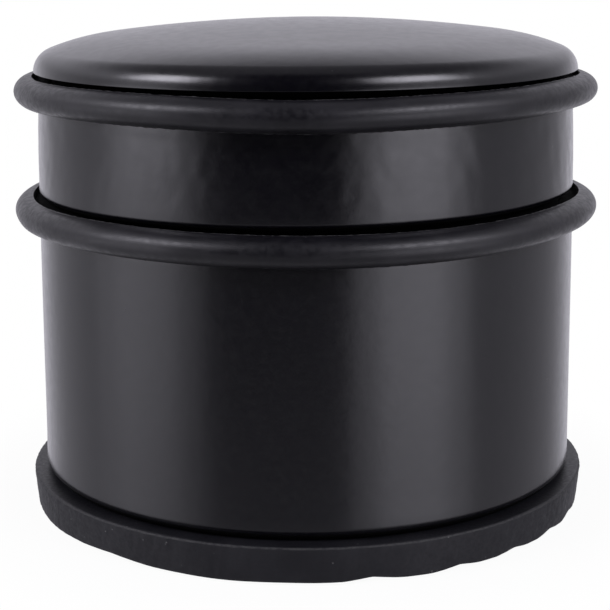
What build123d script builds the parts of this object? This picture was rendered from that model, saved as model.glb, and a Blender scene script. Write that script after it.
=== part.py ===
"""Weighted floor door stop: a steel drum with a domed lid, two rubber bumper rings and a rubber foot.

The drum stands on its foot with +Z up. The origin is the centre of the face that rests on the floor.
Every piece is round about the Z axis, so each one is drawn as half a section and revolved.
All lengths are in millimetres.
"""

import os
from math import asin, cos, degrees, sin

from build123d import *

# Driving dimensions -----------------------------------------------------------------------------

# Drum: one sheet of steel, rolled and necked
drum_radius = 45.0            # outside of the straight wall
drum_sheet = 0.8              # wall thickness
corner_radius = 2.0           # outside radius where the wall rolls in under the drum
rolled_rim_width = 5.0        # flat part of the rolled-in edge, which holds the base plate
lower_band_height = 42.9      # from the foot to the lower groove
lower_groove_width = 4.3      # height of the rolled groove
lower_groove_depth = 2.2      # how far it is rolled in from the wall
upper_band_height = 15.35     # wall between the groove and the neck
neck_depth = 2.5              # how far the neck is drawn in from the wall
bend_radius = 0.25            # inside radius of every tight bend in sheet steel

# Lid: a pressed steel cap that seats on the neck, with its cut edge free above the upper ring
lid_sheet = 0.6               # wall thickness
lid_overhang = 0.4            # how far the lid's edge stands out beyond the drum wall
lid_edge_rise = 4.65          # from the drum wall's shoulder up to the cut edge
crown_radius = 263.0          # large radius of the crown
crown_reach = 34.0            # distance from the axis at which the crown ends
haunch_radius = 38.0          # middle radius, between the crown and the edge
edge_radius = 3.85            # small radius that ends upright at the cut edge

# Bumper rings: the same moulding twice, a flat tongue in the groove and a taller nose that laps its edges
ring_depth = 6.2              # from the bottom of the groove to the tip of the nose
ring_nose_depth = 2.9         # the rounded part of that
ring_nose_height = 4.8
ring_tongue_height = 3.0
ring_tongue_rounding = 0.3    # clears the bend at the groove's root

# Rubber foot
foot_thickness = 6.0
foot_overhang = 2.3           # beyond the drum wall, at the foot's top edge
foot_draft = 0.6              # how much the foot's radius shrinks from its top to the floor
foot_top_rounding = 0.4
foot_floor_rounding = 0.6

# Closing pieces inside
plate_thickness = 1.0
plate_clearance = 0.1         # between the base plate's edge and the curve of the drum's corner
adhesive_clearance = 0.4      # between the bonding layer and the rolled-in edge

# Heights and radii that follow from them -----------------------------------------------------------

drum_bottom = foot_thickness
lower_groove_bottom = drum_bottom + lower_band_height
lower_groove_top = lower_groove_bottom + lower_groove_width
neck_bottom = lower_groove_top + upper_band_height
lid_edge = neck_bottom + lid_edge_rise

lower_groove_radius = drum_radius - lower_groove_depth
neck_radius = drum_radius - neck_depth
flat_bottom_radius = drum_radius - corner_radius
rim_hole_radius = flat_bottom_radius - rolled_rim_width

lid_radius = drum_radius + lid_overhang

# Slopes where the lid's three arcs meet: each arc starts at the slope at which the last one ended
crown_slope = asin(crown_reach / crown_radius)
haunch_slope = asin(
    (lid_radius - edge_radius - (crown_radius - haunch_radius) * sin(crown_slope))
    / (haunch_radius - edge_radius)
)
lid_top = (
    lid_edge
    + crown_radius * (1 - cos(crown_slope))
    + haunch_radius * (cos(crown_slope) - cos(haunch_slope))
    + edge_radius * cos(haunch_slope)
)

plate_bottom = drum_bottom + drum_sheet
plate_top = plate_bottom + plate_thickness
foot_radius = drum_radius + foot_overhang

os.makedirs("parts", exist_ok=True)


def finish(builder, name):
    """Labels a finished piece and writes its STEP file."""
    builder.part.label = name
    export_step(builder.part, f"parts/{name}.step")


# Outer surface of each pressed piece, in half section (X is the radius, Y is the height) -------------

with BuildLine() as lid_line:
    crown = JernArc((0, lid_top), (1, 0), crown_radius, -degrees(crown_slope))
    haunch = JernArc(crown @ 1, crown % 1, haunch_radius, -degrees(haunch_slope - crown_slope))
    JernArc(haunch @ 1, haunch % 1, edge_radius, -(90 - degrees(haunch_slope)))

with BuildLine() as lid_inner_line:
    add(lid_line.line)
    offset(amount=lid_sheet, side=Side.RIGHT, closed=False)

with BuildLine() as drum_line:
    Polyline(
        (rim_hole_radius, drum_bottom),
        (drum_radius, drum_bottom),
        (drum_radius, lower_groove_bottom),
        (lower_groove_radius, lower_groove_bottom),
        (lower_groove_radius, lower_groove_top),
        (drum_radius, lower_groove_top),
        (drum_radius, neck_bottom),
        (neck_radius, neck_bottom),
    )
    neck = IntersectingLine((neck_radius, neck_bottom), (0, 1), lid_inner_line.line)
    neck_top = (neck @ 1).Y
    outer_corners = drum_line.vertices().filter_by_position(Axis.X, drum_radius - 0.01, drum_radius + 0.01)
    bottom_corner, *shoulders = outer_corners.sort_by(Axis.Y)
    groove_roots = [
        vertex
        for vertex in drum_line.vertices()
        if vertex.X < drum_radius - 0.01 and lower_groove_bottom - 0.01 < vertex.Y < lid_edge
    ]
    fillet(bottom_corner, radius=corner_radius)
    fillet(shoulders, radius=bend_radius + drum_sheet)
    fillet(groove_roots, radius=bend_radius)

# Drum: the wall, the rolled groove, the neck and the rolled-in edge are one sheet ---------------------

with BuildPart() as drum_shell:
    with BuildSketch(Plane.XZ) as drum_sheet_section:
        with BuildLine():
            add(drum_line.line)
            offset(amount=drum_sheet, side=Side.LEFT)
        make_face()
    revolve(axis=Axis.Z)
finish(drum_shell, "drum_shell")

# Lid: crown, haunch and edge are one pressed cap, whose inside seats on the end of the neck -------------

with BuildPart() as domed_lid:
    with BuildSketch(Plane.XZ) as lid_sheet_section:
        with BuildLine():
            add(lid_line.line)
            offset(amount=lid_sheet, side=Side.RIGHT)
        make_face()
    revolve(axis=Axis.Z)
finish(domed_lid, "domed_lid")

# Ballast: concrete cast into everything that the drum, the lid and the base plate enclose --------------

with BuildPart() as ballast:
    with BuildSketch(Plane.XZ):
        with BuildLine():
            add(lid_line.line)
            Polyline((lid_radius, lid_edge), (0, lid_edge), (0, lid_top))
        make_face()
        with Locations((0, neck_top)):
            Rectangle(
                lid_radius,
                lid_top - neck_top,
                align=(Align.MIN, Align.MIN),
                mode=Mode.INTERSECT,
            )
        with BuildLine():
            add(drum_line.line)
            Polyline(
                (neck_radius, neck_top),
                (0, neck_top),
                (0, drum_bottom),
                (rim_hole_radius, drum_bottom),
            )
        make_face()
        add(drum_sheet_section.sketch_local, mode=Mode.SUBTRACT)
        add(lid_sheet_section.sketch_local, mode=Mode.SUBTRACT)
        with Locations((0, plate_top)):
            Rectangle(
                lid_radius,
                lid_top - plate_top,
                align=(Align.MIN, Align.MIN),
                mode=Mode.INTERSECT,
            )
    revolve(axis=Axis.Z)
finish(ballast, "ballast")

# Base plate: a disc on the rolled-in edge, under the concrete ------------------------------------------

with BuildPart() as base_plate:
    with BuildSketch(Plane.XY.offset(plate_bottom)):
        Circle(flat_bottom_radius - plate_clearance)
    extrude(amount=plate_thickness)
finish(base_plate, "base_plate")

# Bumper rings -------------------------------------------------------------------------------------------

for ring_name, seat_radius, seat_bottom in (
    ("lower_bumper_ring", lower_groove_radius, lower_groove_bottom),
    ("upper_bumper_ring", neck_radius, neck_bottom),
):
    nose_radius = seat_radius + ring_depth - ring_nose_depth
    tongue_bottom = seat_bottom
    tongue_top = tongue_bottom + ring_tongue_height
    ring_middle = (tongue_bottom + tongue_top) / 2
    nose_bottom = ring_middle - ring_nose_height / 2
    nose_top = ring_middle + ring_nose_height / 2
    with BuildPart() as bumper_ring:
        with BuildSketch(Plane.XZ):
            with BuildLine() as ring_line:
                EllipticalCenterArc(
                    (nose_radius, ring_middle),
                    x_radius=ring_nose_depth,
                    y_radius=ring_nose_height / 2,
                    start_angle=-90,
                    arc_size=180,
                )
                Polyline(
                    (nose_radius, nose_top),
                    (nose_radius, tongue_top),
                    (seat_radius, tongue_top),
                    (seat_radius, tongue_bottom),
                    (nose_radius, tongue_bottom),
                    (nose_radius, nose_bottom),
                )
                tongue_corners = ring_line.vertices().filter_by_position(
                    Axis.X, seat_radius - 0.01, seat_radius + 0.01
                )
                fillet(tongue_corners, radius=ring_tongue_rounding)
            make_face()
        revolve(axis=Axis.Z)
    finish(bumper_ring, ring_name)

# Foot: a thick rubber disc, wider than the drum, and the layer that bonds it to the base plate ----------

with BuildPart() as rubber_foot:
    with BuildSketch(Plane.XZ):
        with BuildLine() as foot_line:
            Polyline(
                (0, 0),
                (foot_radius - foot_draft, 0),
                (foot_radius, foot_thickness),
                (0, foot_thickness),
                close=True,
            )
            rim = foot_line.vertices().filter_by_position(Axis.X, 0.01, foot_radius + 0.01)
            floor_corner, top_corner = rim.sort_by(Axis.Y)
            fillet(floor_corner, radius=foot_floor_rounding)
            fillet(top_corner, radius=foot_top_rounding)
        make_face()
    revolve(axis=Axis.Z)
finish(rubber_foot, "rubber_foot")

with BuildPart() as foot_adhesive:
    with BuildSketch(Plane.XY.offset(foot_thickness)):
        Circle(rim_hole_radius - adhesive_clearance)
    extrude(amount=drum_sheet)
finish(foot_adhesive, "foot_adhesive")
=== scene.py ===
"""Looks of the weighted floor door stop: black coated drum and lid, two rubber rings, worn rubber foot.

The pieces that show are turned again from the frame's sizes, with a finer mesh and the unevenness of real
ones. Lengths are in metres, unless a comment says otherwise. Angles round the object are from +X towards +Y,
so the camera's side is at -90 degrees.
"""

from math import asin, atan2, cos, pi, radians, sin, tan

import bpy
import numpy as np
from mathutils import Euler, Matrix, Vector


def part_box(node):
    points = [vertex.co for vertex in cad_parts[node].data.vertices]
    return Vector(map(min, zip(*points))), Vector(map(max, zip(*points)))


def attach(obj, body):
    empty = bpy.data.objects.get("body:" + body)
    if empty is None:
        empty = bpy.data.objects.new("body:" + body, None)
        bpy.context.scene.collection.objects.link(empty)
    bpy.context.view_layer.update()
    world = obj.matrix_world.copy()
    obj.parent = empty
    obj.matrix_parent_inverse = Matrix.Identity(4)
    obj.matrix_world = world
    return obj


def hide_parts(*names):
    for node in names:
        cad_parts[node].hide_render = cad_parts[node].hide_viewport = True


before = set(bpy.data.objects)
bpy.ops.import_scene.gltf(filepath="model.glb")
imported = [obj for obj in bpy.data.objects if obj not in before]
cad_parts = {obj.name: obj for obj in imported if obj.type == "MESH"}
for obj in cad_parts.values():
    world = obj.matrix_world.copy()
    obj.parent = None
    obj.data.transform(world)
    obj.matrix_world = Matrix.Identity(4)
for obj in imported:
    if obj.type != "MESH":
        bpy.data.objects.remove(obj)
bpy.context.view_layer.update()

MM = 0.001


def reach(node):
    """Radius, bottom and top of a CAD node that is round about Z."""
    low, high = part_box(node)
    return high.x, low.z, high.z


# Sizes ---------------------------------------------------------------------------------------------------

# Read from the frame
drum_radius, drum_bottom, neck_top = reach("drum_shell")
lid_radius, lid_edge, lid_top = reach("domed_lid")
lower_ring_bottom = reach("lower_bumper_ring")[1]
upper_ring_bottom = reach("upper_bumper_ring")[1]
foot_radius, foot_bottom, foot_top = reach("rubber_foot")
adhesive_radius = reach("foot_adhesive")[0]

# What a node's box doesn't tell
drum_sheet = 0.8 * MM
bend_radius = 0.25 * MM
outer_bend = bend_radius + drum_sheet
corner_radius = 2.0 * MM
groove_depth = 2.2 * MM
groove_width = 4.3 * MM
neck_depth = 2.5 * MM
adhesive_clearance = 0.4 * MM

lid_sheet = 0.6 * MM
crown_radius = 263 * MM
crown_reach = 34 * MM
haunch_radius = 38 * MM
edge_radius = 3.85 * MM
coat_rounding = 0.15 * MM  # on both corners of the lid's cut edge

ring_lap = 0.9 * MM  # how far each ring's nose hangs below the edge of its groove
ring_nose_depth = 2.9 * MM
ring_tongue_height = 3.0 * MM
ring_tongue_rounding = 0.3 * MM

foot_draft = 0.6 * MM
foot_top_rounding = 0.4 * MM
foot_floor_rounding = 0.5 * MM

# Worked out from those
groove_radius = drum_radius - groove_depth
groove_bottom = lower_ring_bottom + ring_lap
groove_top = groove_bottom + groove_width
neck_radius = drum_radius - neck_depth
neck_bottom = upper_ring_bottom + ring_lap
rim_hole_radius = adhesive_radius + adhesive_clearance

# How finely the sections are divided, and how many steps they are turned in
steel_step = 1.2 * MM
ring_step = 0.8 * MM
foot_step = 0.6 * MM
coarse_step = 4 * MM  # for the parts of a section that are flat or hidden
STEEL_TURNS = 512
RUBBER_TURNS = 720

# Distances that count as nothing
POINT_TOLERANCE = 1e-8
AXIS_TOLERANCE = 1e-9
RADIUS_TOLERANCE = 1e-7

# Drawing and turning sections ----------------------------------------------------------------------------

FIELD_WAVES = 32
SHORTEST_WAVE, LONGEST_WAVE = 0.7, 1.8  # shares of a field's wavelength


def arc(centre, radius, start, end, steps):
    """Points along an arc, with angles in radians from the +radius direction. An ellipse has two radii."""
    across, up = radius if isinstance(radius, tuple) else (radius, radius)
    return [
        (centre[0] + across * cos(angle), centre[1] + up * sin(angle))
        for angle in np.linspace(start, end, steps + 1)
    ]


def rounded(*corners, steps):
    """Points of a line through (radius, height, rounding) corners. The first and last have no rounding."""
    line = []
    for number, (x, y, rounding) in enumerate(corners):
        corner = Vector((x, y))
        if rounding == 0:
            line.append((x, y))
            continue
        back = (Vector(corners[number - 1][:2]) - corner).normalized()
        ahead = (Vector(corners[number + 1][:2]) - corner).normalized()
        half = back.angle(ahead) / 2
        centre = corner + (back + ahead).normalized() * rounding / sin(half)
        first = corner + back * rounding / tan(half) - centre
        last = corner + ahead * rounding / tan(half) - centre
        turn = first.angle_signed(last)
        start = atan2(first.y, first.x)
        line += arc(centre, rounding, start, start - turn, steps)
    return line


def divided(section, step, fine_beyond=0.0):
    """The closed section with its long runs cut into pieces of about step.

    Within the radius fine_beyond the pieces are of about coarse_step, and a run on the axis stays whole.
    """
    points = []
    for here, there in zip(section, section[1:] + section[:1]):
        length = (Vector(there) - Vector(here)).length
        if length < POINT_TOLERANCE:
            continue
        outer = max(here[0], there[0])
        wanted = step if outer > fine_beyond else coarse_step
        pieces = max(1, round(length / wanted)) if outer > 0 else 1
        for part in range(pieces):
            share = part / pieces
            x = here[0] + (there[0] - here[0]) * share
            y = here[1] + (there[1] - here[1]) * share
            points.append((x, y))
    return points


def field(seed, wavelength):
    """A smooth random field over space, mostly within -1 to 1, with bumps of about that wavelength."""
    chance = np.random.default_rng(seed)
    direction = chance.normal(size=(FIELD_WAVES, 3))
    direction /= np.linalg.norm(direction, axis=1)[:, None]
    frequency = direction / (wavelength * chance.uniform(SHORTEST_WAVE, LONGEST_WAVE, (FIELD_WAVES, 1)))
    phase = chance.uniform(0, 2 * pi, FIELD_WAVES)

    def value(points):
        return np.sin(2 * pi * (points @ frequency.T) + phase).sum(axis=-1) / (FIELD_WAVES**0.5)

    return value


def ramp(value, low, high):
    """Rises smoothly from 0 at low to 1 at high."""
    share = np.clip((value - low) / (high - low), 0, 1)
    return share * share * (3 - 2 * share)


def around_by(degrees_round, middle):
    """Degrees from middle, the short way round."""
    return (degrees_round - middle + 180) % 360 - 180


def lathe(name, section, turns, shape, looks, stands_for, inner_radius=0.0):
    """Turns a closed section about Z, lets shape(radius, height, angle, points) move it, and dresses it.

    Section points on the axis become single poles, so the mesh is closed. The first look is for the outside.
    The last one is for faces that reach in to less than inner_radius from the axis.
    """
    section = np.array(section)
    angle = np.linspace(0, 2 * pi, turns, endpoint=False)[None, :]

    def placed(radius, height):
        return np.stack([radius * np.cos(angle), radius * np.sin(angle), height], axis=-1)

    radius = np.repeat(section[:, :1], turns, axis=1)
    height = np.repeat(section[:, 1:], turns, axis=1)
    angles = np.repeat(angle, len(section), axis=0)
    points = placed(*shape(radius, height, angles, placed(radius, height)))

    vertices, rows = [], []
    for row, is_pole in zip(points, section[:, 0] < AXIS_TOLERANCE):
        if is_pole:
            rows.append([len(vertices)] * turns)
            vertices.append((0, 0, float(row[:, 2].mean())))
        else:
            rows.append(list(range(len(vertices), len(vertices) + turns)))
            vertices.extend(map(tuple, row))
    faces, inner = [], []
    turned = list(zip(rows, section[:, 0]))
    for (here, here_radius), (there, there_radius) in zip(turned, turned[1:] + turned[:1]):
        if here[0] == here[1] and there[0] == there[1]:
            continue  # a run along the axis has no faces
        for a in range(turns):
            b = (a + 1) % turns
            corners = (here[a], here[b], there[b], there[a])
            faces.append(tuple(dict.fromkeys(corners)))  # a pole counts once
        inner += [min(here_radius, there_radius) < inner_radius - RADIUS_TOLERANCE] * turns
    mesh = bpy.data.meshes.new(name)
    mesh.from_pydata(vertices, [], faces)
    following = np.roll(section, -1, axis=0)
    area = sum(here[0] * there[1] - there[0] * here[1] for here, there in zip(section, following))
    if area > 0:
        mesh.flip_normals()  # the section runs anticlockwise
    mesh.shade_smooth()
    for look in looks:
        mesh.materials.append(look)
    mesh.polygons.foreach_set("material_index", np.array(inner, dtype=np.int32) * (len(looks) - 1))
    piece = bpy.data.objects.new(name, mesh)
    bpy.context.scene.collection.objects.link(piece)
    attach(piece, "root")
    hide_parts(stands_for)


# Materials -----------------------------------------------------------------------------------------------

# Noise and speck scales are per metre: at 1000 a spot is about a millimetre


class Nodes:
    """Adds nodes to one empty tree, and sets or links their inputs."""

    def __init__(self, tree):
        tree.nodes.clear()
        self.tree = tree

    def add(self, kind, inputs=None, **settings):
        node = self.tree.nodes.new(kind)
        for name, value in settings.items():
            setattr(node, name, value)
        for key, value in (inputs or {}).items():
            if isinstance(value, bpy.types.NodeSocket):
                self.tree.links.new(value, node.inputs[key])
            else:
                node.inputs[key].default_value = value
        return node

    def coordinates(self, kind="Object"):
        return self.add("ShaderNodeTexCoord").outputs[kind]

    def math(self, operation, *values):
        return self.add("ShaderNodeMath", dict(enumerate(values)), operation=operation).outputs[0]

    def noise(self, place, scale, detail=2.0, roughness=0.5):
        inputs = {"Vector": place, "Scale": scale, "Detail": detail, "Roughness": roughness}
        return self.add("ShaderNodeTexNoise", inputs).outputs["Fac"]

    def spread(self, value, low, high, to_low=0.0, to_high=1.0):
        """Goes smoothly from to_low at low to to_high at high, and stays level beyond them."""
        inputs = {0: value, 1: low, 2: high, 3: to_low, 4: to_high}
        return self.add("ShaderNodeMapRange", inputs, interpolation_type="SMOOTHSTEP").outputs[0]

    def mix(self, share, first, second):
        """Mixes two colours, which are inputs 6 and 7 and output 2 of the node."""
        return self.add("ShaderNodeMix", {0: share, 6: first, 7: second}, data_type="RGBA").outputs[2]

    def bump(self, height, distance, normal=None):
        inputs = {"Height": height, "Distance": distance, "Strength": 1.0}
        if normal is not None:
            inputs["Normal"] = normal
        return self.add("ShaderNodeBump", inputs).outputs[0]

    def specks(self, place, scale, size, share):
        """1 on sparse round specks of random strength, and 0 between them.

        Size is a speck's radius in cells of 1 / scale, and share is how many of the cells have one.
        """
        cell = self.add("ShaderNodeTexVoronoi", {"Vector": place, "Scale": scale, "Randomness": 1.0})
        dot = self.spread(cell.outputs["Distance"], size * 0.4, size, 1.0, 0.0)
        chance = self.add("ShaderNodeSeparateColor", {"Color": cell.outputs["Color"]}).outputs[0]
        return self.math("MULTIPLY", dot, self.spread(chance, 1 - share, 1.0))


def material(name):
    made = bpy.data.materials.new(name)
    made.use_nodes = True
    return made, Nodes(made.node_tree)


def finish_material(nodes, color, roughness, normal, **constants):
    """Adds the shader and the output. A constant has the name of its socket, with _ for each space."""
    inputs = {"Base Color": color, "Roughness": roughness, "Normal": normal}
    inputs.update({name.replace("_", " "): value for name, value in constants.items()})
    shader = nodes.add("ShaderNodeBsdfPrincipled", inputs)
    nodes.add("ShaderNodeOutputMaterial", {"Surface": shader.outputs[0]})


def rgb(red, green, blue):
    return (red, green, blue, 1.0)


def gray(level, blue=1.0):
    """A gray whose blue is that many times as strong."""
    return rgb(level, level, level * blue)


def coated_steel():
    """Satin black powder coat: faint orange peel, a mottled film of dust and specks of it."""
    made, n = material("coated_steel")
    place = n.coordinates()
    slow = n.noise(place, 70.0, 2.0)
    peel = n.noise(place, 620.0, 2.0)
    grain = n.noise(place, 3600.0, 3.0, 0.6)
    film = n.noise(place, 1000.0, 4.0, 0.7)
    dust = n.specks(place, 260.0, 0.045, 0.20)
    color = n.mix(n.spread(slow, 0.3, 0.7), rgb(0.0015, 0.0013, 0.0027), rgb(0.0026, 0.0024, 0.0040))
    color = n.mix(n.spread(film, 0.40, 0.75), color, gray(0.0045, 1.2))
    color = n.mix(dust, color, gray(0.05))
    normal = n.bump(slow, 0.05 * MM)
    normal = n.bump(peel, 0.015 * MM, normal)
    normal = n.bump(grain, 0.005 * MM, normal)
    roughness = n.math("ADD", n.spread(peel, 0.3, 0.7, 0.215, 0.25), n.math("MULTIPLY", dust, 0.3))
    finish_material(n, color, roughness, normal, Specular_IOR_Level=0.53)
    return made


def ring_rubber(name, nose_radius):
    """Smooth black rubber with moulding haze and specks of dust. Its thin flash is painted paler, a painted
    highlight along the edge.
    """
    made, n = material(name)
    place = n.coordinates()
    haze = n.noise(place, 160.0, 3.0)
    mottle = n.noise(place, 1100.0, 3.0, 0.6)
    pores = n.noise(place, 2600.0, 3.0, 0.65)
    dust = n.specks(place, 700.0, 0.10, 0.16)
    level = n.add("ShaderNodeVectorMath", {0: place, 1: (1.0, 1.0, 0.0)}, operation="MULTIPLY").outputs[0]
    from_axis = n.add("ShaderNodeVectorMath", {0: level}, operation="LENGTH").outputs["Value"]
    edge = n.spread(from_axis, nose_radius, nose_radius + 0.04 * MM, 1.0, 0.0)
    # Painted highlight: the flash along the nose's inner edges is painted paler, broken up by the pore
    # noise.
    painted_flash_highlight = n.math("MULTIPLY", edge, n.spread(pores, 0.4, 0.6))
    color = n.mix(n.spread(haze, 0.35, 0.75), rgb(0.0034, 0.0032, 0.0050), rgb(0.0095, 0.0090, 0.0115))
    color = n.mix(painted_flash_highlight, color, gray(0.06))
    color = n.mix(dust, color, gray(0.10))
    normal = n.bump(haze, 0.035 * MM)
    normal = n.bump(pores, 0.018 * MM, normal)
    roughness = n.spread(mottle, 0.35, 0.65, 0.36, 0.47)
    finish_material(n, color, roughness, normal, Specular_IOR_Level=0.42)
    return made


def foot_rubber():
    """Black rubber: the top face is moulded smooth, and the cut sides are matt with pale grit and scuffs.
    Its rounded top edge is painted paler, a painted highlight.
    """
    made, n = material("foot_rubber")
    place = n.coordinates()
    scuff = n.noise(place, 120.0, 4.0, 0.6)
    grain = n.noise(place, 1500.0, 4.0, 0.7)
    grit = n.specks(place, 800.0, 0.14, 0.25)
    # How far the surface faces up: about 0 on the side, and 1 on the top face
    upward = n.add("ShaderNodeSeparateXYZ", {0: n.coordinates("Normal")}).outputs[2]
    top_face = n.spread(upward, 0.75, 0.97)
    # Painted highlight: faces that turn partly up, on the rounded top edge, are painted paler, broken up by
    # the grain noise.
    painted_edge_highlight = n.math("MULTIPLY", n.spread(upward, 0.10, 0.35), n.spread(grain, 0.35, 0.6))
    painted_edge_highlight = n.math("MULTIPLY", painted_edge_highlight, n.spread(upward, 0.97, 0.75))
    color = n.mix(n.spread(scuff, 0.35, 0.7), gray(0.0070, 1.30), gray(0.0118, 1.20))
    color = n.mix(painted_edge_highlight, color, gray(0.034))
    color = n.mix(grit, color, gray(0.09))
    normal = n.bump(scuff, 0.04 * MM)
    normal = n.bump(grain, 0.015 * MM, normal)
    rough_side = n.spread(grain, 0.3, 0.7, 0.56, 0.72)
    roughness = n.math("SUBTRACT", rough_side, n.math("MULTIPLY", top_face, 0.20))
    finish_material(n, color, roughness, normal, Specular_IOR_Level=0.31)
    return made


def cast_concrete():
    """Gray concrete with sand in it."""
    made, n = material("cast_concrete")
    place = n.coordinates()
    cloud = n.noise(place, 60.0, 5.0, 0.6)
    sand = n.noise(place, 900.0, 4.0, 0.7)
    stones = n.specks(place, 180.0, 0.35, 0.5)
    color = n.mix(n.spread(cloud, 0.3, 0.7), gray(0.30, 0.96), gray(0.42, 0.95))
    color = n.mix(n.math("MULTIPLY", stones, 0.6), color, gray(0.17))
    normal = n.bump(sand, 0.15 * MM)
    roughness = n.spread(sand, 0.3, 0.7, 0.82, 0.95)
    finish_material(n, color, roughness, normal)
    return made


def bare_steel():
    """Unpainted sheet steel with rolling marks."""
    made, n = material("bare_steel")
    place = n.coordinates()
    along = n.add("ShaderNodeMapping", {"Vector": place, "Scale": (1.0, 14.0, 1.0)}).outputs[0]
    marks = n.noise(along, 220.0, 4.0, 0.6)
    bloom = n.noise(place, 50.0, 3.0)
    color = n.mix(n.spread(bloom, 0.3, 0.7), gray(0.42, 1.02), gray(0.55, 1.02))
    normal = n.bump(marks, 0.004 * MM)
    roughness = n.spread(marks, 0.3, 0.7, 0.28, 0.42)
    finish_material(n, color, roughness, normal, Metallic=1.0)
    return made


def bond():
    """Dark contact adhesive, uneven where it was spread."""
    made, n = material("bond")
    place = n.coordinates()
    smears = n.noise(place, 240.0, 3.0)
    color = n.mix(n.spread(smears, 0.3, 0.7), rgb(0.055, 0.040, 0.022), rgb(0.10, 0.075, 0.04))
    normal = n.bump(smears, 0.12 * MM)
    roughness = n.spread(smears, 0.3, 0.7, 0.35, 0.5)
    finish_material(n, color, roughness, normal)
    return made


def painted_gap_shade():
    """Painted shade for what lies deep in the gaps: a darker black that hardly shines, standing in for the
    shade on the coat and rubber there.
    """
    made, n = material("painted_gap_shade")
    place = n.coordinates()
    dust = n.noise(place, 900.0, 3.0)
    # The noise only varies the tone of this painted shade a little.
    color = n.mix(n.spread(dust, 0.3, 0.7), gray(0.0012), gray(0.0024))
    normal = n.bump(dust, 0.02 * MM)
    roughness = n.spread(dust, 0.3, 0.7, 0.85, 1.0)
    finish_material(n, color, roughness, normal, Specular_IOR_Level=0.06)
    return made


steel_coat = coated_steel()
foot_look = foot_rubber()
gap_shade_look = painted_gap_shade()
for node, look in (("ballast", cast_concrete()), ("base_plate", bare_steel()), ("foot_adhesive", bond())):
    for material_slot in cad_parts[node].material_slots:
        material_slot.material = look

# Drum ----------------------------------------------------------------------------------------------------

outside = rounded(
    (rim_hole_radius, drum_bottom, 0),
    (drum_radius, drum_bottom, corner_radius),
    (drum_radius, groove_bottom, outer_bend),
    (groove_radius, groove_bottom, bend_radius),
    (groove_radius, groove_top, bend_radius),
    (drum_radius, groove_top, outer_bend),
    (drum_radius, neck_bottom, outer_bend),
    (neck_radius, neck_bottom, bend_radius),
    (neck_radius, neck_top, 0),
    steps=10,
)
inside = rounded(
    (neck_radius - drum_sheet, neck_top, 0),
    (neck_radius - drum_sheet, neck_bottom - drum_sheet, outer_bend),
    (drum_radius - drum_sheet, neck_bottom - drum_sheet, bend_radius),
    (drum_radius - drum_sheet, groove_top + drum_sheet, bend_radius),
    (groove_radius - drum_sheet, groove_top + drum_sheet, outer_bend),
    (groove_radius - drum_sheet, groove_bottom - drum_sheet, outer_bend),
    (drum_radius - drum_sheet, groove_bottom - drum_sheet, bend_radius),
    (drum_radius - drum_sheet, drum_bottom + drum_sheet, corner_radius - drum_sheet),
    (rim_hole_radius, drum_bottom + drum_sheet, 0),
    steps=4,
)

wall_swell = field(11, 42 * MM)
wall_swell_depth = 0.03 * MM
wall_dimples = field(12, 3.5 * MM)
wall_dimple_depth = 0.018 * MM
WALL_SHEETS = 1.2  # sheets in from the outside that count as wall: over 1, to take in its inner face
drawn_in_depth = 0.26 * MM
drawn_in_from = 2 * MM  # above the lower groove
ASKEW_TILT, ASKEW_DROP = 0.4, 0.2  # mm
# Heights over which the unevenness fades
shoulder_fade = 2 * MM
band_fade = 3 * MM
askew_fade_below = 1 * MM
askew_fade_above = 5 * MM


def drum_shape(radius, height, angle, points):
    """The rolled wall isn't quite round. The band between the rings is dimpled, and drawn in at the top."""
    free = ramp(height, drum_bottom + corner_radius, drum_bottom + 3 * corner_radius)
    free *= 1 - ramp(height, neck_bottom - shoulder_fade, neck_bottom - outer_bend)
    band = ramp(height, groove_top, groove_top + band_fade) * free
    # The edge above the lower groove was rolled a little askew, highest on the +X side
    edge = ramp(height, groove_top - askew_fade_below, groove_top)
    edge *= 1 - ramp(height, groove_top, groove_top + askew_fade_above)
    height = height + (ASKEW_TILT * np.cos(angle) - ASKEW_DROP) * MM * edge
    # Only the wall's two faces move in or out, and not the groove and the neck
    wall = radius > drum_radius - drum_sheet * WALL_SHEETS
    swell = -wall_swell_depth * (1 - wall_swell(points)) * free
    dimples = wall_dimple_depth * (1 - wall_dimples(points)) * band
    above = (height - groove_top - drawn_in_from) / (neck_bottom - groove_top - drawn_in_from)
    drawn_in = drawn_in_depth * np.clip(above, 0, 1) ** 2
    return radius + np.where(wall, swell - dimples - drawn_in, 0), height


outer_face_only = drum_radius - 0.5 * MM  # between the wall's two faces
# Faces inside shiny_beyond get the painted gap shade, a darker black that stands for the shade deep in the
# groove and the neck.
shiny_beyond = drum_radius - 0.25 * MM  # inside it the coat lies deep in the groove or is hidden
lathe(
    "coated_drum",
    divided(outside + inside, steel_step, fine_beyond=outer_face_only),
    STEEL_TURNS,
    drum_shape,
    (steel_coat, gap_shade_look),
    "drum_shell",
    inner_radius=shiny_beyond,
)

# Lid -----------------------------------------------------------------------------------------------------

# Slopes at which the lid's arcs meet
crown_slope = asin(crown_reach / crown_radius)
haunch_slope = asin(
    (lid_radius - edge_radius - (crown_radius - haunch_radius) * sin(crown_slope))
    / (haunch_radius - edge_radius)
)
HAUNCH_STEPS, EDGE_STEPS, ROUNDING_STEPS = 10, 20, 5


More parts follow.
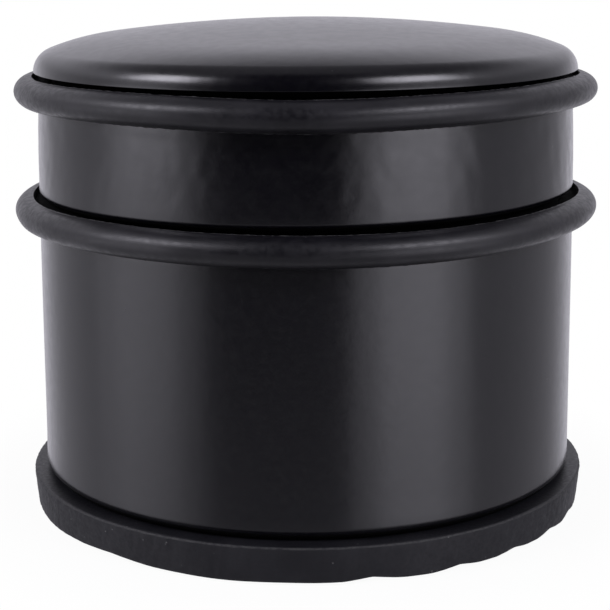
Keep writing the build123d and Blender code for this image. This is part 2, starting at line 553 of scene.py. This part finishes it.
def lid_surface(inset, crown_steps):
    """Crown, haunch and edge of the lid, from the axis out to the cut edge, inset from the outer surface."""
    centre = Vector((0, lid_top - crown_radius))
    line, slope = [], 0
    for radius, end, steps, next_radius in (
        (crown_radius, crown_slope, crown_steps, haunch_radius),
        (haunch_radius, haunch_slope, HAUNCH_STEPS, edge_radius),
        (edge_radius, pi / 2, EDGE_STEPS, None),
    ):
        points = arc(centre, radius - inset, pi / 2 - slope, pi / 2 - end, steps)
        line += points[1:] if line else points
        if next_radius:
            centre += (radius - next_radius) * Vector((sin(end), cos(end)))
        slope = end
    return line


edge_height = lid_edge + coat_rounding
outer_centre = (lid_radius - coat_rounding, edge_height)
inner_centre = (lid_radius - lid_sheet + coat_rounding, edge_height)
cut_edge = arc(outer_centre, coat_rounding, 0, -pi / 2, ROUNDING_STEPS)
cut_edge += arc(inner_centre, coat_rounding, -pi / 2, -pi, ROUNDING_STEPS)
lid_outside = lid_surface(0, crown_steps=34)
lid_inside = lid_surface(lid_sheet, crown_steps=12)
lid_section = lid_outside[:-1] + cut_edge + lid_inside[-2::-1]

lid_swell = field(21, 30 * MM)
lid_swell_depth = 0.02 * MM
lid_lean = 0.1 * MM


def lid_shape(radius, height, angle, points):
    """The pressed crown undulates a little, and the lid sits a hair lower on the -X side."""
    # Strongest in the middle of the crown, and nothing near the cut edge
    crown = ramp(height, lid_edge + 1 * MM, lid_edge + 4 * MM) * (1 - ramp(radius, 0, lid_radius) ** 4)
    tilt = lid_lean * (np.cos(angle) - 1) * radius / lid_radius
    return radius, height + tilt - lid_swell_depth * (1 + lid_swell(points)) * crown


lathe(
    "coated_lid",
    divided(lid_section, steel_step),
    STEEL_TURNS,
    lid_shape,
    [steel_coat],
    "domed_lid",
)

# Bumper rings --------------------------------------------------------------------------------------------

flash_height = 0.10 * MM
flash_width = 0.12 * MM
LOWER_FLASH = 1.4  # how many times as tall the lower line of flash is
FLASH_MEAN, FLASH_SWING, FLASH_LEAST = 0.5, 0.4, 0.05  # shares of flash_height
NOSE_STEPS = 48
ring_swell_depth = 0.06 * MM
# How far each ring is off level on its way round: angle and width in degrees, and rise in mm
UPPER_LIE = ((-90, 21, -0.42), (-28, 20, 0.32), (-158, 14, -0.15), (60, 40, -0.2))
LOWER_LIE = ((-88, 32, -0.24), (-28, 22, 0.42), (-162, 22, -0.28), (100, 50, 0.2))


def ring(name, node, seat_radius, lie, seed):
    """A rounded nose with a thin line of flash along its two inner edges, and a tongue in the groove."""
    tip_radius, bottom, top = reach(node)
    nose_radius = tip_radius - ring_nose_depth
    back_radius = nose_radius - 3 * flash_width
    middle, half = (bottom + top) / 2, (top - bottom) / 2
    tongue_bottom = bottom + ring_lap
    tongue_top = tongue_bottom + ring_tongue_height
    nose = arc((nose_radius, middle), (ring_nose_depth, half), -pi / 2, pi / 2, NOSE_STEPS)
    section = nose + [
        (nose_radius - 0.2 * flash_width, top + flash_height),
        (nose_radius - flash_width, top),
        (back_radius, top - flash_width),
        (back_radius, tongue_top),
        (seat_radius + ring_tongue_rounding, tongue_top),
        (seat_radius, tongue_top - ring_tongue_rounding),
        (seat_radius, tongue_bottom + ring_tongue_rounding),
        (seat_radius + ring_tongue_rounding, tongue_bottom),
        (back_radius, tongue_bottom),
        (back_radius, bottom + flash_width),
        (nose_radius - flash_width, bottom),
        (nose_radius + 0.3 * flash_width, bottom - flash_height),
    ]
    torn = field(seed, 0.8 * MM)
    swell = field(seed + 2, 14 * MM)

    def shape(radius, height, angle, points):
        """Flash comes and goes along the edges, and the nose doesn't lie quite level."""
        flash = flash_height * np.clip(FLASH_MEAN + FLASH_SWING * torn(points), FLASH_LEAST, 1)
        # Only the tips of the two lines of flash are more than half their height beyond the nose
        height = np.where(height > top + 0.5 * flash_height, top + flash, height)
        height = np.where(height < bottom - 0.5 * flash_height, bottom - LOWER_FLASH * flash, height)
        rise = sum(
            most * np.exp(-((around_by(np.degrees(angle), at) / width) ** 2))
            for at, width, most in lie
        )
        height = height + rise * MM * ramp(radius, nose_radius - 1 * MM, nose_radius - 0.4 * MM)
        free = ramp(radius, nose_radius, tip_radius)
        return radius - ring_swell_depth * (1 + swell(points)) * free, height

    lathe(
        name,
        divided(section, ring_step),
        RUBBER_TURNS,
        shape,
        # The ring's back and tongue, in the groove, get the painted gap shade, a darker black that stands
        # for the shade there.
        (ring_rubber(name + "_rubber", nose_radius), gap_shade_look),
        node,
        inner_radius=nose_radius - flash_width,
    )


ring("lower_ring", "lower_bumper_ring", groove_radius, LOWER_LIE, 31)
ring("upper_ring", "upper_bumper_ring", neck_radius, UPPER_LIE, 41)

# Foot ----------------------------------------------------------------------------------------------------

foot_rim = foot_radius - 5 * MM  # within it the foot's two faces are flat
foot_section = rounded(
    (0, foot_bottom, 0),
    (foot_rim, foot_bottom, 0),
    (foot_radius - foot_draft, foot_bottom, foot_floor_rounding),
    (foot_radius, foot_top, foot_top_rounding),
    (foot_rim, foot_top, 0),
    (0, foot_top, 0),
    steps=6,
)
# Bites out of the floor edge on the camera's side: angle and width in degrees, and depth in mm
BITES = (
    (-131, 12, 0.6),
    (-78, 5, 0.75),
    (-60, 4, 0.6),
    (-46, 4, 0.6),
    (-33, 4, 0.6),
    (-22, 4, 0.6),
)
BITE_SHAPE = 1.4  # 1 would be a notch, and 2 a round hollow
foot_grain = field(51, 1.6 * MM)
foot_grain_depth = 0.03 * MM
foot_swell = field(52, 18 * MM)
foot_swell_depth = 0.06 * MM
floor_wear = 0.3 * MM
WEAR_MEAN, WEAR_SWING = 0.6, 0.4  # shares of floor_wear
wear_height = 2.6 * MM  # how far up the side the wear reaches
wear_inwards = 4 * MM  # and how far in under the foot
chance = np.random.default_rng(53)
hidden_bites = [(chance.uniform(0, 175), chance.uniform(3, 9), chance.uniform(0.3, 0.8)) for _ in range(9)]


def foot_shape(radius, height, angle, points):
    """The floor edge is worn and bitten all round, and the sides are a little lumpy."""
    degrees_round = np.degrees(angle)
    lift = floor_wear * (WEAR_MEAN + WEAR_SWING * foot_swell(points))
    for middle, width, depth in [*BITES, *hidden_bites]:
        off = around_by(degrees_round, middle)
        lift = np.maximum(lift, depth * MM * np.exp(-np.abs(off / width) ** BITE_SHAPE))
    edge = ramp(radius, foot_radius - wear_inwards, foot_radius - foot_draft - 0.2 * MM)
    low = 1 - ramp(height, foot_bottom, foot_bottom + wear_height)
    side = ramp(radius, foot_radius - 1.2 * MM, foot_radius - 0.5 * MM)
    move = -foot_grain_depth * (1 + foot_grain(points)) - foot_swell_depth * (1 + foot_swell(points))
    return radius + move * side, height + lift * edge * low


lathe(
    "worn_foot",
    divided(foot_section, foot_step, fine_beyond=foot_rim),
    RUBBER_TURNS,
    foot_shape,
    [foot_look],
    "rubber_foot",
)

# Camera --------------------------------------------------------------------------------------------------

# Degrees: down from level, round to the left, and about the lens's own axis
CAMERA_DOWN, CAMERA_LEFT, CAMERA_ROLL = 9.67, 0.041, -0.254

camera_data = bpy.data.cameras.new("camera")
camera_data.sensor_width = 36
camera_data.lens = 96.56
camera_data.shift_y = -0.15
camera_data.clip_start = 0.01
camera_data.clip_end = 20
camera = bpy.data.objects.new("camera", camera_data)
camera.location = (0.01 * MM, -276.4 * MM, 95.1 * MM)
aimed = Euler((radians(90 - CAMERA_DOWN), 0, radians(CAMERA_LEFT))).to_matrix()
rolled = Euler((0, 0, radians(CAMERA_ROLL))).to_matrix()
camera.rotation_euler = (aimed @ rolled).to_euler()
bpy.context.scene.collection.objects.link(camera)
bpy.context.scene.camera = camera

# Light ---------------------------------------------------------------------------------------------------

COOL = (0.925, 0.905, 1.0)  # the tint of all the light on the object
LEAST_LEVEL = 0.46  # keeps directions round the object from crowding together overhead

world = bpy.data.worlds.new("studio")
world.use_nodes = True
bpy.context.scene.world = world
n = Nodes(world.node_tree)
to_right, away, up = n.add("ShaderNodeSeparateXYZ", {0: n.coordinates("Generated")}).outputs
# The length of a direction's level part. 1.001, and not 1, keeps the root real straight up and down
level_length = n.math("SQRT", n.math("SUBTRACT", 1.001, n.math("MULTIPLY", up, up)))
level_length = n.math("MAXIMUM", level_length, LEAST_LEVEL)
# How far a direction is from the camera's side, round the object: 0 in front, 1 at the sides, 2 behind
round_back = n.math("ADD", n.math("DIVIDE", away, level_length), 1.0)
sides = n.spread(round_back, 0.10, 0.80, 0.0, 0.72)
# The right side is a little darker than the left, and both darken below the table's edge
to_side = n.math("DIVIDE", to_right, level_length)
sides = n.math("MULTIPLY", sides, n.spread(to_side, 0.45, 0.90, 1.0, 0.76))
sides = n.math("MULTIPLY", sides, n.spread(up, -0.10, -0.40, 1.0, 0.50))
# The white backdrop stands behind and beside the object, and is brightest in a band about 27 degrees up.
# Above it the studio is darker, and in front it is black
backdrop = n.math("MULTIPLY", sides, n.spread(up, 0.62, 0.80, 1.0, 0.42))
bright_band = n.math("MULTIPLY", n.spread(up, 0.18, 0.44), n.spread(up, 0.48, 0.70, 0.5, 0.0))
backdrop = n.math("ADD", backdrop, n.math("MULTIPLY", sides, bright_band))
# Low down behind the object, the lit table and the backdrop meet, and both light it
horizon = n.math("MULTIPLY", n.spread(round_back, 1.60, 1.90, 0.0, 0.31), n.spread(up, 0.22, -0.02))
backdrop = n.math("ADD", backdrop, horizon)
table = n.spread(up, -0.06, -0.42, 0.0, 0.33)
# Glossy surfaces mirror the backdrop at its full strength, and the camera and glass see only white
rays = n.add("ShaderNodeLightPath").outputs
backdrop = n.math("MULTIPLY", backdrop, n.spread(rays["Is Glossy Ray"], 0.0, 1.0, 0.85, 1.0))
seen = n.math("MAXIMUM", rays["Is Camera Ray"], rays["Is Transmission Ray"])
strength = n.math("MAXIMUM", seen, n.math("ADD", backdrop, table))
light = n.add("ShaderNodeBackground", {"Color": n.mix(seen, rgb(*COOL), gray(1.0)), "Strength": strength})
n.add("ShaderNodeOutputWorld", {"Surface": light.outputs[0]})

# Each softbox is two lamps that share its light: name, share of the half width, and distance in metres
SOFTBOX_LAMPS = (("wide", 1.4, 0.90), ("narrow", 0.8, 0.88))
# Azimuth and half width in degrees, bottom and top in metres, radiance
SOFTBOXES = (
    ("right_softbox", 50, 15, 0.52, 1.04, 9.4),
    ("right_fill", 50, 15, 0.11, 0.52, 0.7),
    ("right_spill", 44, 17, -0.04, 0.11, 3.3),
    ("right_table_glow", 44, 18, -0.24, -0.04, 2.05),
    ("right_table", 45, 19, -0.50, -0.24, 1.2),
    ("left_softbox", -66, 12.5, 0.52, 1.04, 11.0),
    ("left_fill", -66, 12.5, 0.11, 0.52, 0.7),
    ("left_spill", -66, 15, -0.04, 0.11, 2.1),
    ("left_table_glow", -69, 19, -0.24, -0.04, 0.95),
    ("left_table", -69, 19, -0.50, -0.24, 0.52),
)


def softbox(name, azimuth, half_width, bottom, top, radiance):
    """Two soft lamps, a narrow one in front of a wide one, that face the object.

    Azimuth is from the camera's side to its right.
    """
    around = radians(azimuth)
    for part, share, distance in SOFTBOX_LAMPS:
        width = 2 * distance * tan(radians(half_width * share))
        data = bpy.data.lights.new(name + "_" + part, "AREA")
        data.shape = "RECTANGLE"
        data.size = width
        data.size_y = top - bottom
        data.energy = radiance / len(SOFTBOX_LAMPS) * pi * width * (top - bottom)
        data.color = COOL
        lamp = bpy.data.objects.new(data.name, data)
        lamp.location = (distance * sin(around), -distance * cos(around), (bottom + top) / 2)
        lamp.rotation_euler = (radians(90), 0, around)
        lamp.visible_camera = False
        bpy.context.scene.collection.objects.link(lamp)


for settings in SOFTBOXES:
    softbox(*settings)

# Floor ---------------------------------------------------------------------------------------------------

floor_half = 3.0
floor_drop = 0.05 * MM  # keeps the floor clear of the foot's own face


def pale_floor():
    """White to the camera, but for a faint shade close round the object, and matt to everything else."""
    made, n = material("pale_floor")
    from_middle = n.add("ShaderNodeVectorMath", {0: n.coordinates()}, operation="LENGTH").outputs["Value"]
    matt = n.add("ShaderNodeBsdfDiffuse", {"Color": gray(0.9)})
    white = n.add("ShaderNodeEmission", {"Color": gray(1.0), "Strength": 1.0})
    whiteness = n.spread(from_middle, drum_radius, drum_radius * 1.7, 0.95, 1.0)
    seen = n.math("MULTIPLY", n.add("ShaderNodeLightPath").outputs["Is Camera Ray"], whiteness)
    mixed = n.add("ShaderNodeMixShader", {0: seen, 1: matt.outputs[0], 2: white.outputs[0]})
    n.add("ShaderNodeOutputMaterial", {"Surface": mixed.outputs[0]})
    return made


floor_corners = [(x * floor_half, y * floor_half, 0) for x, y in ((-1, -1), (1, -1), (1, 1), (-1, 1))]
floor_mesh = bpy.data.meshes.new("floor")
floor_mesh.from_pydata(floor_corners, [], [(0, 1, 2, 3)])
floor = bpy.data.objects.new("floor", floor_mesh)
floor.location.z = -floor_drop
bpy.context.scene.collection.objects.link(floor)
floor.visible_glossy = False
floor_mesh.materials.append(pale_floor())

bpy.context.scene.view_settings.view_transform = "Standard"

bpy.context.view_layer.update()
